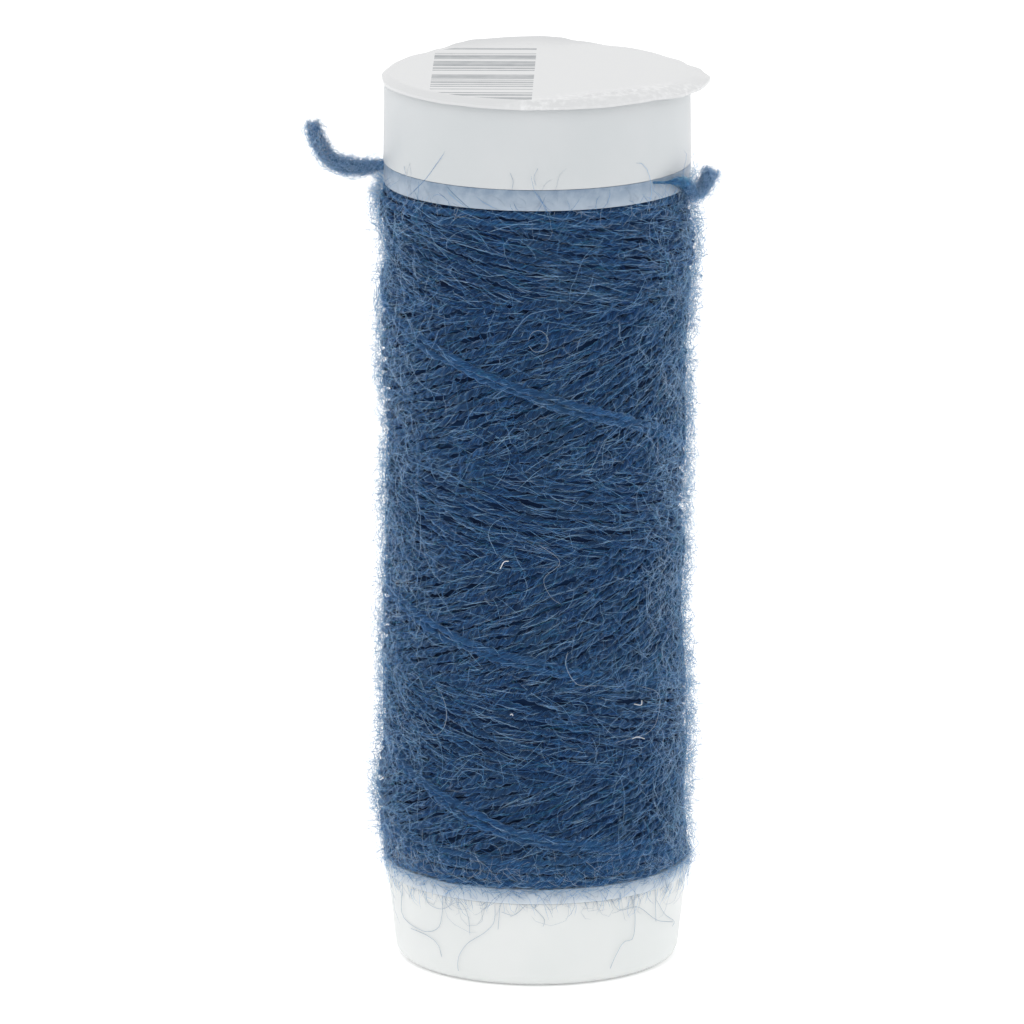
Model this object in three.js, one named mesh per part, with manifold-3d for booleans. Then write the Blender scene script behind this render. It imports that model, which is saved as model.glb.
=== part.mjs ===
// A small plastic spool wound with thin two-ply wool yarn, standing on its base cup, with a lid.
// Millimetres, +Z up. The origin is the middle of the base cup's flat underside.
// The front is at -Y, and +X is to the right of someone who looks at the front.
import * as THREE from 'three';
import { mergeVertices } from 'three/addons/utils/BufferGeometryUtils.js';
import Module from 'manifold-3d';

const wasm = await Module();
wasm.setup();

// Heights, from the standing face up
const BASE_TOP = 6.4;
const LOWER_FLANGE_TOP = 7.5;
const UPPER_FLANGE_BOTTOM = 57.3;
const UPPER_FLANGE_TOP = 58.5;
const LID_TOP = 64.9;

// Radii of what shows
const FLANGE_R = 11.0;
const LID_R = 11.02;
const LID_TOP_R = 10.95;
const BASE_RIM_R = 10.85;
const BASE_FOOT_R = 10.25;
const BASE_EDGE = 1.0;
const LID_EDGE = 0.4;

// Radii of what is hidden: the tube that carries the yarn, and the rings that stand in its bore
const TUBE_R = 5.5;
const BORE_R = 4.6;
const RING_R = 4.3;
const RING_INNER_R = 3.5;
const RING_REACH = 2.0;
const WALL = 0.9;

const GAP = 0.3;
const SEGMENTS = 40;
const ROUND_STEPS = 4;
const RADIANS = Math.PI / 180;
const WELD_DISTANCE = 1e-4;

// The winding. Its skin is a grid of rings, and what was wound last stands out of it.
const YARN_BOTTOM = LOWER_FLANGE_TOP + GAP;
const YARN_TOP = UPPER_FLANGE_BOTTOM - GAP;
const YARN_AROUND = 60;
const YARN_RINGS = 56;
// Radius of the winding by height, narrower where it rounds over to the flanges
const YARN_PROFILE = [
  { z: YARN_BOTTOM, radius: 10.1 },
  { z: 8.6, radius: 10.7 },
  { z: 11.0, radius: 10.95 },
  { z: 15.5, radius: 10.8 },
  { z: 20.5, radius: 10.9 },
  { z: 27.0, radius: 10.75 },
  { z: 34.0, radius: 10.72 },
  { z: 40.0, radius: 10.72 },
  { z: 47.0, radius: 10.9 },
  { z: 51.0, radius: 11.0 },
  { z: 55.0, radius: 11.1 },
  { z: YARN_TOP, radius: 10.6 },
];
// Between the crossings, the strands on top climb to the right in these belts of height. In the
// belts between them the strands on top fall to the right.
const CLIMBING_BELTS = [
  { from: 9.5, to: 15.5 },
  { from: 22.5, to: 31.0 },
  { from: 38.5, to: 49.2 },
];
const BELT_RISE = 0.12;
const BELT_SHOULDER = 0.5;
// The strands that were wound last lie over all others and run down round the spool. The angles
// are from the front, positive to the right, and go on past a full turn.
const LAST_LAID = [
  { angle: -150, z: 52.6 },
  { angle: -64, z: 48.1 },
  { angle: 38, z: 41.2 },
  { angle: 180, z: 33.0 },
  { angle: 303, z: 27.1 },
  { angle: 351, z: 24.3 },
  { angle: 420, z: 21.5 },
  { angle: 560, z: 18.6 },
  { angle: 663, z: 15.7 },
  { angle: 714, z: 11.2 },
  { angle: 790, z: 9.2 },
];
const LAST_LAID_HALF = 0.85;
const LAST_LAID_RISE = 0.32;
const LAST_LAID_FADE = 30;

// The sticker's reach from the axis by angle, and how far its edge stands off the lid's top there:
// below zero it is folded down over the rim, above zero it has come away and curls up.
const STICKER_THICK = 0.2;
const STICKER_TOP = LID_TOP + STICKER_THICK;
const STICKER_EDGE = [
  { angle: -180, reach: 11.75, lift: 0.3 },
  { angle: -157, reach: 11.45, lift: 0.27 },
  { angle: -150, reach: 11.3, lift: 0.18 },
  { angle: -141, reach: 11.05, lift: 0 },
  { angle: -130, reach: 10.7, lift: -0.02 },
  { angle: -107, reach: 10.75, lift: -0.04 },
  { angle: -88, reach: 11.1, lift: -0.26 },
  { angle: -75, reach: 11.2, lift: -0.34 },
  { angle: 0, reach: 11.25, lift: -0.42 },
  { angle: 45, reach: 11.3, lift: -0.42 },
  { angle: 62, reach: 11.9, lift: -0.5 },
  { angle: 72, reach: 12.25, lift: -0.42 },
  { angle: 84, reach: 12.42, lift: -0.22 },
  { angle: 93, reach: 11.8, lift: -0.05 },
  { angle: 104, reach: 11, lift: 0 },
  { angle: 122, reach: 10.8, lift: 0 },
  { angle: 139, reach: 10.95, lift: 0 },
  { angle: 152, reach: 11.05, lift: 0 },
  { angle: 165, reach: 11.25, lift: 0.12 },
  { angle: 172, reach: 11.45, lift: 0.27 },
  { angle: 180, reach: 11.75, lift: 0.3 },
];
// From the flat part to the edge: how far out, and how much of the edge's lift is reached there
const STICKER_FOLD = [
  { out: 0.3, down: 0.08 },
  { out: 0.72, down: 0.55 },
  { out: 1.0, down: 1.0 },
];

// The loose yarn: left end, under the lid's lip, over the flange in front of the lid's ring,
// out under the lip on the right, down beside the flange and out to the right end.
const TAIL_DIAMETER = 0.9;
const TAIL_SIDES = 8;
const TAIL_STEPS = 66;
const TAIL = [
  [-16.05, -0.1, 61.35], [-15.95, -0.1, 60.75], [-15.72, -0.1, 60.1], [-15.38, -0.1, 59.4],
  [-14.9, -0.1, 58.8], [-14.2, -0.1, 58.32], [-13.3, -0.1, 58.12], [-12.3, -0.1, 58.16],
  [-11.2, -0.15, 58.25], [-10.1, -0.3, 58.5], [-9.0, -0.7, 59.0], [-7.9, -1.5, 59.3],
  [-6.3, -3.0, 59.35], [-4.2, -4.6, 59.35], [-1.6, -5.9, 59.35], [1.4, -6.75, 59.35],
  [4.2, -7.15, 59.3], [6.3, -7.3, 59.0], [7.8, -7.35, 58.55], [9.0, -7.0, 58.4],
  [9.85, -6.05, 58.3], [10.4, -5.05, 58.0], [10.74, -4.25, 57.5], [11.08, -3.5, 56.98],
  [11.6, -3.0, 56.92], [11.98, -2.9, 57.4], [12.2, -2.95, 57.95], [12.42, -3.0, 58.45],
];

// Closed geometry as a solid, with its shared corners merged and its faces turned outwards.
function solidOf(geometry) {
  const bare = geometry.index ? geometry.toNonIndexed() : geometry.clone();
  const corners = new THREE.BufferGeometry().setAttribute('position', bare.getAttribute('position'));
  const merged = mergeVertices(corners, WELD_DISTANCE);
  const all = merged.index.array;
  const kept = [];
  for (let i = 0; i < all.length; i += 3) {
    const [a, b, c] = [all[i], all[i + 1], all[i + 2]];
    if (a !== b && b !== c && c !== a) kept.push(a, b, c);
  }
  const vertProperties = merged.getAttribute('position').array;
  const asSolid = (triVerts) =>
    new wasm.Manifold(new wasm.Mesh({ numProp: 3, vertProperties, triVerts: new Uint32Array(triVerts) }));
  const solid = asSolid(kept);
  if (solid.volume() > 0) return solid;
  for (let i = 0; i < kept.length; i += 3) [kept[i + 1], kept[i + 2]] = [kept[i + 2], kept[i + 1]];
  return asSolid(kept);
}

function geometryOf(solid) {
  const { vertProperties, triVerts } = solid.getMesh();
  const geometry = new THREE.BufferGeometry();
  geometry.setAttribute('position', new THREE.BufferAttribute(new Float32Array(vertProperties), 3));
  geometry.setIndex(new THREE.BufferAttribute(new Uint32Array(triVerts), 1));
  geometry.computeVertexNormals();
  return geometry;
}

function named(name, solid, color, roughness) {
  const material = new THREE.MeshStandardMaterial({ color, roughness, metalness: 0, flatShading: true });
  const mesh = new THREE.Mesh(geometryOf(solid), material);
  mesh.name = name;
  return mesh;
}

// A solid of revolution. The profile is [radius, height] pairs from the axis out and back to it.
function turned(profile) {
  const points = profile.map(([radius, z]) => new THREE.Vector2(radius, z));
  const lathe = new THREE.LatheGeometry(points, SEGMENTS);
  lathe.rotateX(Math.PI / 2);
  return solidOf(lathe);
}

// A quarter round in a profile, from angle to angle in degrees, about its own centre.
function round(centreR, centreZ, radius, from, to) {
  return Array.from({ length: ROUND_STEPS + 1 }, (_, i) => {
    const angle = (from + ((to - from) * i) / ROUND_STEPS) * RADIANS;
    return [centreR + radius * Math.cos(angle), centreZ + radius * Math.sin(angle)];
  });
}

// The value of a key at x in a table whose rows rise in xKey, easing between the rows.
function eased(table, xKey, key, x) {
  const above = table.findIndex((row) => row[xKey] >= x);
  if (above === 0) return table[0][key];
  if (above < 0) return table[table.length - 1][key];
  const [low, high] = [table[above - 1], table[above]];
  const t = (x - low[xKey]) / (high[xKey] - low[xKey]);
  return low[key] + (high[key] - low[key]) * t * t * (3 - 2 * t);
}

// A closed solid whose skin runs through rings of points, and from the last ring back to the first.
function skinned(rings) {
  const positions = [];
  rings.forEach((ring, r) => {
    const next = rings[(r + 1) % rings.length];
    ring.forEach((point, i) => {
      const j = (i + 1) % ring.length;
      positions.push(...point, ...ring[j], ...next[j], ...point, ...next[j], ...next[i]);
    });
  });
  const attribute = new THREE.BufferAttribute(new Float32Array(positions), 3);
  return solidOf(new THREE.BufferGeometry().setAttribute('position', attribute));
}

// A ring of points about the axis. The rule gives each angle from the front, in degrees, its
// [radius, height].
function ringOf(count, rule) {
  return Array.from({ length: count }, (_, i) => {
    const angle = (360 * i) / count - 180;
    const [radius, z] = rule(angle);
    return [radius * Math.sin(angle * RADIANS), -radius * Math.cos(angle * RADIANS), z];
  });
}

// The loose yarn's route as a swept tube of any diameter, which also cuts its passage.
function alongTail(diameter, sides, steps) {
  const route = new THREE.CatmullRomCurve3(TAIL.map((point) => new THREE.Vector3(...point)));
  const section = new THREE.Shape(
    Array.from({ length: sides }, (_, i) => {
      const angle = (2 * Math.PI * i) / sides;
      return new THREE.Vector2((diameter / 2) * Math.cos(angle), (diameter / 2) * Math.sin(angle));
    }),
  );
  return solidOf(new THREE.ExtrudeGeometry(section, { steps, extrudePath: route, curveSegments: sides }));
}

function baseCup() {
  return turned([
    [0, 0],
    ...round(BASE_FOOT_R - BASE_EDGE, BASE_EDGE, BASE_EDGE, -90, 0),
    [BASE_RIM_R, BASE_TOP],
    [BASE_RIM_R - WALL, BASE_TOP],
    [BASE_FOOT_R - WALL, BASE_EDGE + WALL / 2],
    [BASE_FOOT_R - WALL - BASE_EDGE / 2, WALL],
    [RING_R, WALL],
    [RING_R, BASE_TOP + RING_REACH],
    [RING_INNER_R, BASE_TOP + RING_REACH],
    [RING_INNER_R, WALL],
    [0, WALL],
  ]);
}

function spool(passage) {
  return turned([
    [BORE_R, BASE_TOP],
    [FLANGE_R, BASE_TOP],
    [FLANGE_R, LOWER_FLANGE_TOP],
    [TUBE_R, LOWER_FLANGE_TOP],
    [TUBE_R, UPPER_FLANGE_BOTTOM],
    [FLANGE_R, UPPER_FLANGE_BOTTOM],
    [FLANGE_R, UPPER_FLANGE_TOP],
    [BORE_R, UPPER_FLANGE_TOP],
    [BORE_R, BASE_TOP],
  ]).subtract(passage);
}

function lid(passage) {
  const ceiling = LID_TOP - WALL;
  return turned([
    [RING_INNER_R, UPPER_FLANGE_TOP - RING_REACH],
    [RING_R, UPPER_FLANGE_TOP - RING_REACH],
    [RING_R, ceiling],
    [LID_TOP_R - WALL, ceiling],
    [LID_R - WALL, UPPER_FLANGE_TOP],
    [LID_R, UPPER_FLANGE_TOP],
    ...round(LID_TOP_R - LID_EDGE, LID_TOP - LID_EDGE, LID_EDGE, 0, 90),
    [0, LID_TOP],
    [0, ceiling],
    [RING_INNER_R, ceiling],
    [RING_INNER_R, UPPER_FLANGE_TOP - RING_REACH],
  ]).subtract(passage);
}

// How far the winding stands out at an angle from the front, in degrees, and a height.
function windingRadius(angle, z) {
  let rise = 0;
  for (const belt of CLIMBING_BELTS) {
    const inside = Math.min(z - belt.from, belt.to - z) + BELT_SHOULDER;
    rise += BELT_RISE * Math.max(0, Math.min(1, inside));
  }
  const [first, last] = [LAST_LAID[0].angle, LAST_LAID[LAST_LAID.length - 1].angle];
  for (let turn = angle - 360; turn <= last; turn += 360) {
    if (turn < first) continue;
    const across = (z - eased(LAST_LAID, 'angle', 'z', turn)) / LAST_LAID_HALF;
    const ends = Math.min(1, (turn - first) / LAST_LAID_FADE, (last - turn) / LAST_LAID_FADE);
    rise += LAST_LAID_RISE * ends * Math.exp(-across * across);
  }
  return eased(YARN_PROFILE, 'z', 'radius', z) + rise;
}

// The wound form: its skin from the lower flange up, and a plain bore clear of the tube.
function yarnBody() {
  const skin = Array.from({ length: YARN_RINGS + 1 }, (_, i) => {
    const z = YARN_BOTTOM + ((YARN_TOP - YARN_BOTTOM) * i) / YARN_RINGS;
    return ringOf(YARN_AROUND, (angle) => [windingRadius(angle, z), z]);
  });
  const bore = [YARN_TOP, YARN_BOTTOM].map((z) => ringOf(YARN_AROUND, () => [TUBE_R + GAP, z]));
  return skinned([...skin, ...bore]);
}

// The sticker lies flat on the lid, and past the flat part its edge folds down or curls up.
function sticker() {
  const flatR = LID_TOP_R - LID_EDGE;
  const folded = ({ out, down }, z) =>
    ringOf(SEGMENTS, (angle) => {
      const reach = eased(STICKER_EDGE, 'angle', 'reach', angle);
      const lift = eased(STICKER_EDGE, 'angle', 'lift', angle);
      return [flatR + (reach - flatR) * out, z + lift * down];
    });
  const layer = (z) => [
    ringOf(SEGMENTS, () => [0, z]),
    ringOf(SEGMENTS, () => [flatR, z]),
    ...STICKER_FOLD.map((fold) => folded(fold, z)),
  ];
  return skinned([...layer(STICKER_TOP), ...layer(LID_TOP).reverse()]);
}

const passage = alongTail(TAIL_DIAMETER + 2 * GAP, TAIL_SIDES, TAIL_STEPS);

const group = new THREE.Group();
group.add(named('base_cup', baseCup(), 0xe9ebeb, 0.45));
group.add(named('spool', spool(passage), 0xc9d3dc, 0.4));
group.add(named('lid', lid(passage), 0xd9dee1, 0.4));
group.add(named('label', sticker(), 0xe8eaea, 0.55));
group.add(named('yarn_body', yarnBody(), 0x2d4f78, 0.95));
group.add(named('yarn_tail', alongTail(TAIL_DIAMETER, TAIL_SIDES, TAIL_STEPS), 0x46699a, 0.95));

export default group;
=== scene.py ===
# %% [markdown]
# # Sock reinforcement yarn on a small spool
# A white plastic spool with a lid and a base cup is wound with thin blue two-ply wool. The wound
# form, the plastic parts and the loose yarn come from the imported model, which is loaded first and
# gives every size and place. Blender then adds what the eye sees: the single strands with their
# twist, the fuzz of the wool, the rounded plastic edges and the sticker with its worn rim.
# Blender works in metres. The numbers below are in millimetres, so lengths are multiplied by MM.

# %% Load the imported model
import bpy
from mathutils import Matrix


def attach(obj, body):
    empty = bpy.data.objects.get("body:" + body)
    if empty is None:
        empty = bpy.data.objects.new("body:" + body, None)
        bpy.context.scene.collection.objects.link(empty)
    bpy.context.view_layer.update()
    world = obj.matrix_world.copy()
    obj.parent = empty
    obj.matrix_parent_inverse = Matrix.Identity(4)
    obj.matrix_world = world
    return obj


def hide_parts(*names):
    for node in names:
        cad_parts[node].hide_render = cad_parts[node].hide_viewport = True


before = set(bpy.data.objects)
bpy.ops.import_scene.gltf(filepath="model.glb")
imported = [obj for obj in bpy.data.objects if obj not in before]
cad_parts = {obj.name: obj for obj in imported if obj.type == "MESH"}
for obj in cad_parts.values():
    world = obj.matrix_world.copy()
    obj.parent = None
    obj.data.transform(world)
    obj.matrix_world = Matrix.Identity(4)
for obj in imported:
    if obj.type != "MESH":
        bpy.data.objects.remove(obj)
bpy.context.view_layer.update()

# %% Units and libraries
import math

import bpy
import numpy as np
from mathutils import Vector

MM = 0.001

# %% [markdown]
# ## Camera
# The photograph was taken from about 0.8 m with a long lens, a little above the spool, so its
# round edges are flat ellipses. The place and the lens were fitted on the edges of the lid, the
# winding and the foot. A long lens is a small angle of view: here under six degrees.

# %% Set the camera
CAMERA_DISTANCE = 793.0
CAMERA_ABOVE = math.radians(13.36)
LOOKS_AT = (-1.81, 0.0, 32.73)
LENS = 386.7
# In metres: nothing nearer or further away is drawn
NEAREST, FURTHEST = 0.05, 20

camera_place = (
    LOOKS_AT[0] * MM,
    -CAMERA_DISTANCE * math.cos(CAMERA_ABOVE) * MM,
    (LOOKS_AT[2] + CAMERA_DISTANCE * math.sin(CAMERA_ABOVE)) * MM,
)
bpy.ops.object.select_all(action="DESELECT")
bpy.ops.object.camera_add(location=camera_place, rotation=(math.pi / 2 - CAMERA_ABOVE, 0, 0))
camera = bpy.context.object
camera.data.lens = LENS
camera.data.clip_start, camera.data.clip_end = NEAREST, FURTHEST
bpy.context.scene.camera = camera
print("camera at", [round(v, 4) for v in camera_place])

# %% [markdown]
# ## Sweeping a section along many lines
# Yarn and fibres are long thin things that repeat thousands of times. By hand each one would be a
# curve with a small bevel shape. Here the same sweep is worked out for many lines at once: each
# line carries a ring of points at every step, and the rings are joined by four-sided faces. A
# yarn is cut, so a flat face closes each end. A fibre is so fine that its ends run out to points,
# which saves a ring at each end. Doing it in arrays keeps every face pointing outwards, and it lets
# a ring turn a little at each step, which is exactly what the twist of a two-ply yarn is.

# %% Directions across a line
# A direction that no line here sets out along, so a direction across it can be found from it
HELPING_DIRECTION = (0.31, 0.22, 0.93)


def across_lines(lines):
    """Two directions at right angles to each line at each of its points, without any spin."""
    along = np.gradient(lines, axis=1)
    along /= np.linalg.norm(along, axis=2, keepdims=True)
    side = np.empty_like(lines)
    before = np.cross(along[:, 0], HELPING_DIRECTION)
    for i in range(lines.shape[1]):
        before = before - (before * along[:, i]).sum(axis=1, keepdims=True) * along[:, i]
        before /= np.linalg.norm(before, axis=1, keepdims=True)
        side[:, i] = before
    return side, np.cross(along, side)


# %% Rings along lines, and a mesh from its parts
def rings_round(lines, section, widths=1.0, turn=0.0):
    """The points of the section at every step of every line. Lines is (count, steps, 3) in mm,
    widths scales the section at each step, and turn is its angle there in radians."""
    side, up = across_lines(lines)
    turn = np.broadcast_to(turn, lines.shape[:2])[..., None]
    widths = np.broadcast_to(widths, lines.shape[:2])[..., None]
    x = (section[:, 0] * np.cos(turn) - section[:, 1] * np.sin(turn)) * widths
    y = (section[:, 0] * np.sin(turn) + section[:, 1] * np.cos(turn)) * widths
    return lines[:, :, None] + x[..., None] * side[:, :, None] + y[..., None] * up[:, :, None]


def new_piece(name, points, corners, sizes, slots=None):
    """A smooth mesh from points in mm, the corners of all faces in a row, the number of corners of
    each face, and the number of its material."""
    mesh = bpy.data.meshes.new(name)
    mesh.vertices.add(len(points))
    mesh.vertices.foreach_set("co", (points * MM).astype(np.float32).ravel())
    mesh.loops.add(len(corners))
    mesh.loops.foreach_set("vertex_index", corners.astype(np.int32))
    mesh.polygons.add(len(sizes))
    starts = np.concatenate([[0], np.cumsum(sizes)[:-1]])
    mesh.polygons.foreach_set("loop_start", starts.astype(np.int32))
    if slots is not None:
        mesh.polygons.foreach_set("material_index", slots.astype(np.int32))
    mesh.polygons.foreach_set("use_smooth", np.ones(len(sizes), dtype=bool))
    mesh.update(calc_edges=True)
    piece = bpy.data.objects.new(name, mesh)
    bpy.context.collection.objects.link(piece)
    print(name, int((sizes - 2).sum()), "triangles")
    return piece


# %% Sweep yarn and sweep fibres
def sweep(name, lines, section, widths=1.0, turn=0.0):
    """A piece with a flat face at both ends of each line."""
    count, steps, _ = lines.shape
    sides = len(section)
    points = rings_round(lines, section, widths, turn).reshape(-1, 3)
    ring = np.arange(count * steps).reshape(count, steps)[:, :-1, None] * sides
    j = np.arange(sides)
    k = (j + 1) % sides
    walls = np.stack([ring + j, ring + k, ring + k + sides, ring + j + sides], axis=-1)
    line = np.arange(count)[:, None] * steps * sides
    caps = np.concatenate([line + j[::-1], line + (steps - 1) * sides + j])
    corners = np.concatenate([walls.ravel(), caps.ravel()])
    return new_piece(name, points, corners, np.repeat([4, sides], [walls.size // 4, 2 * count]))


def sweep_pointed(name, lines, section, slots):
    """A piece whose lines all end in points, as fine fibres do, each with its material's number."""
    count, steps, _ = lines.shape
    sides = len(section)
    rings = rings_round(lines, section)[:, 1:-1].reshape(count, -1, 3)
    points = np.concatenate([lines[:, :1], rings, lines[:, -1:]], axis=1)
    line = np.arange(count)[:, None, None] * points.shape[1]
    ring = 1 + np.arange(steps - 3)[:, None] * sides
    last_ring = 1 + (steps - 3) * sides
    j = np.arange(sides)
    k = (j + 1) % sides
    walls = np.stack([ring + j, ring + k, ring + k + sides, ring + j + sides], axis=-1)
    walls = line + walls.reshape(-1, 4)
    first_tip = np.stack([0 * j, 1 + k, 1 + j])
    last_tip = np.stack([last_ring + j, last_ring + k, last_ring + sides + 0 * j])
    tips = line + np.concatenate([first_tip, last_tip], axis=1).T
    corners = np.concatenate([walls.ravel(), tips.ravel()])
    sizes = np.repeat([4, 3], [walls.size // 4, tips.size // 3])
    of_faces = np.concatenate([np.repeat(slots, walls.shape[1]), np.repeat(slots, tips.shape[1])])
    return new_piece(name, points.reshape(-1, 3), corners, sizes, of_faces)


# %% [markdown]
# ## The loose yarn
# One short length of the yarn is pinched between the lid and the top flange. Its two ends stand
# out left and right. The section of a two-ply yarn is two round plies pressed together, and it
# makes one full turn every few millimetres.

# %% Route of the loose yarn
TAIL = np.array([
    [-16.05, -0.1, 61.35], [-15.95, -0.1, 60.75], [-15.72, -0.1, 60.1], [-15.38, -0.1, 59.4],
    [-14.9, -0.1, 58.8], [-14.2, -0.1, 58.32], [-13.3, -0.1, 58.12], [-12.3, -0.1, 58.16],
    [-11.2, -0.15, 58.25], [-10.1, -0.3, 58.5], [-9.0, -0.7, 59.0], [-7.9, -1.5, 59.3],
    [-6.3, -3.0, 59.35], [-4.2, -4.6, 59.35], [-1.6, -5.9, 59.35], [1.4, -6.75, 59.35],
    [4.2, -7.15, 59.3], [6.3, -7.3, 59.0], [7.8, -7.35, 58.55], [9.0, -7.0, 58.4],
    [9.85, -6.05, 58.3], [10.4, -5.05, 58.0], [10.74, -4.25, 57.5], [11.08, -3.5, 56.98],
    [11.6, -3.0, 56.92], [11.98, -2.9, 57.4], [12.2, -2.95, 57.95], [12.42, -3.0, 58.45],
])
TAIL_POINTS = 146
FINE_STEPS = 20


def smooth_route(points, count):
    """Evenly spaced points on a smooth curve through the given ones, and its length."""
    points = np.array(points)
    padded = np.vstack([2 * points[0] - points[1], points, 2 * points[-1] - points[-2]])
    fine = []
    t = np.linspace(0, 1, FINE_STEPS, endpoint=False)[:, None]
    for a, b, c, d in zip(padded, padded[1:], padded[2:], padded[3:]):
        fine.append(0.5 * (2 * b + (c - a) * t + (2 * a - 5 * b + 4 * c - d) * t**2
                           + (3 * b - a - 3 * c + d) * t**3))
    fine = np.vstack(fine + [points[-1:]])
    run = np.concatenate([[0], np.cumsum(np.linalg.norm(np.diff(fine, axis=0), axis=1))])
    even = np.linspace(0, run[-1], count)
    return np.column_stack([np.interp(even, run, fine[:, axis]) for axis in range(3)]), run[-1]


tail_route, tail_length = smooth_route(TAIL, TAIL_POINTS)
print("loose yarn", round(tail_length, 2), "mm long")

# %% Section and twist of a two-ply yarn
# Two plies side by side, in mm: the section is widest along them and pinched in between them
PLY_SECTION = np.array([
    (0.315, 0.0), (0.2, 0.195), (0.0, 0.175), (-0.2, 0.195),
    (-0.315, 0.0), (-0.2, -0.195), (0.0, -0.175), (0.2, -0.195),
])
STRAND_WIDTH = 0.63
# The plies make a full turn in this many mm
TWIST_LENGTH = 1.9


def twisted(count, steps, length, start):
    """The angle of the section along lines of that length: the plies run round to the left."""
    turned = np.linspace(0, length, steps) * 2 * math.pi / TWIST_LENGTH
    return np.reshape(start, (count, 1)) - turned


TAIL_DIAMETER = 0.9
# It is fuller than a wound strand, and its twist has opened
TAIL_FULLNESS, TAIL_OPENED = 1.3, 1.4
TAIL_START_ANGLE = 0.4
# Places along the yarn in mm, and its width there as a share of the whole. Where the lid presses
# on the yarn it is thin, and it swells again outside.
PINCH = [
    (0.0, 0.85), (0.3, 1.0), (2.5, 0.95), (4.5, 1.1), (6.5, 0.85),
    (29.5, 0.15), (30.5, 0.42), (31.7, 0.52), (33.5, 0.9), (36.2, 1.05),
]
along_tail = np.linspace(0, tail_length, TAIL_POINTS)
tail_widths = TAIL_DIAMETER / STRAND_WIDTH * np.interp(along_tail, *np.transpose(PINCH))
yarn_tail = sweep(
    "loose_yarn", tail_route[None], PLY_SECTION * (1, TAIL_FULLNESS), tail_widths,
    twisted(1, TAIL_POINTS, tail_length / TAIL_OPENED, TAIL_START_ANGLE),
)
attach(yarn_tail, "root")
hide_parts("yarn_tail")

# %% [markdown]
# ## Colours and materials
# A colour picked from a picture is an sRGB value, and light adds up in linear values, so one
# function turns hex colours to linear ones. Another adds a node with its settings and links. The
# patterns are noises on the piece's own coordinates, which are metres, so a scale of 2 / MM makes
# two grains a millimetre.

# %% Colour and node helpers
def linear(colour):
    """A hex sRGB colour such as "#2d4f78" as linear red, green, blue and alpha."""
    values = [int(colour[i : i + 2], 16) / 255 for i in (1, 3, 5)]
    return [v / 12.92 if v <= 0.04045 else ((v + 0.055) / 1.055) ** 2.4 for v in values] + [1.0]


def new_material(name):
    """A material with its Principled shader and a function that adds a node to it."""
    material = bpy.data.materials.new(name)
    material.use_nodes = True
    tree = material.node_tree

    def add(kind, inputs=None, **settings):
        node = tree.nodes.new(kind)
        for setting, value in settings.items():
            setattr(node, setting, value)
        feed(node, inputs or {})
        return node

    def feed(node, inputs):
        for socket, value in inputs.items():
            if isinstance(value, bpy.types.NodeSocket):
                tree.links.new(value, node.inputs[socket])
            else:
                node.inputs[socket].default_value = value

    shader = tree.nodes["Principled BSDF"]
    return material, add, lambda inputs: feed(shader, inputs)


# %% [markdown]
# Wool is spun from crimped, scaly fibres, so it scatters light softly and has no gloss. The eye
# sees fine streaks along the plies, a single fibre or two wide and 1 to 2 mm long, from navy to
# pale blue, and patches of a few mm where the dye took less and the wool is greyer. The streaks
# have to follow the twist, so their noise runs on a UV map that the swept pieces get below. The
# patches run on the piece's place. The sheen gives the pale bloom that wool has where the eye
# looks along it. The strands laid last and the loose yarn get paler copies of the tones: painted
# light, as they lie out in more light than the rest.

# %% Dyed two-ply wool
STREAKS_AROUND, STREAKS_PER_MM = 24.0, 0.85


def wool_material(name, tones_from_dark):
    material, add, shade = new_material(name)
    strand = add("ShaderNodeUVMap", uv_map="strand").outputs["UV"]
    along_plies = add(
        "ShaderNodeVectorMath", {0: strand, 1: (STREAKS_AROUND, STREAKS_PER_MM, 1.0)},
        operation="MULTIPLY",
    ).outputs["Vector"]
    streaks = add(
        "ShaderNodeTexNoise",
        {"Vector": along_plies, "Scale": 1.0, "Detail": 3.0, "Roughness": 0.65},
    )
    tones = add("ShaderNodeValToRGB", {"Fac": streaks.outputs["Fac"]})
    ramp = tones.color_ramp.elements
    darkest, dark, middle, pale = (linear(tone) for tone in tones_from_dark)
    ramp[0].position, ramp[0].color = 0.34, darkest
    ramp[1].position, ramp[1].color = 0.76, pale
    ramp.new(0.5).color, ramp.new(0.62).color = dark, middle
    place = add("ShaderNodeTexCoord").outputs["Object"]
    patches = add("ShaderNodeTexNoise", {"Vector": place, "Scale": 0.33 / MM, "Detail": 2.0})
    grey_share = add(
        "ShaderNodeMapRange",
        {"Value": patches.outputs["Fac"], "From Min": 0.45, "From Max": 0.72, "To Max": 0.5},
    )
    colour = add(
        "ShaderNodeMix",
        {
            "Factor": grey_share.outputs["Result"],
            "A": tones.outputs["Color"], "B": linear("#243f5a"),
        },
        data_type="RGBA",
    )
    bump = add(
        "ShaderNodeBump",
        {"Height": streaks.outputs["Fac"], "Strength": 0.8, "Distance": 0.08 * MM},
    )
    shade({
        "Base Color": colour.outputs["Result"], "Roughness": 0.92, "Specular IOR Level": 0.15,
        "Sheen Weight": 1.0, "Sheen Roughness": 0.38, "Sheen Tint": linear("#8fb4e0"),
        "Normal": bump.outputs["Normal"],
    })
    return material


WOOL = wool_material("dyed_wool_two_ply", ("#040f24", "#112d50", "#275182", "#618ebe"))
# Paler copies of the same wool: painted light on the strands laid last and on the loose yarn
OUTER_WOOL_PAINTED_LIGHT = wool_material("dyed_wool_outermost_painted_light", ("#0b2041", "#1b4069", "#346394", "#769ec8"))
LOOSE_WOOL_PAINTED_LIGHT = wool_material("dyed_wool_loose_painted_light", ("#1c436f", "#3a699b", "#5c8bbe", "#9bbde0"))

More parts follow.
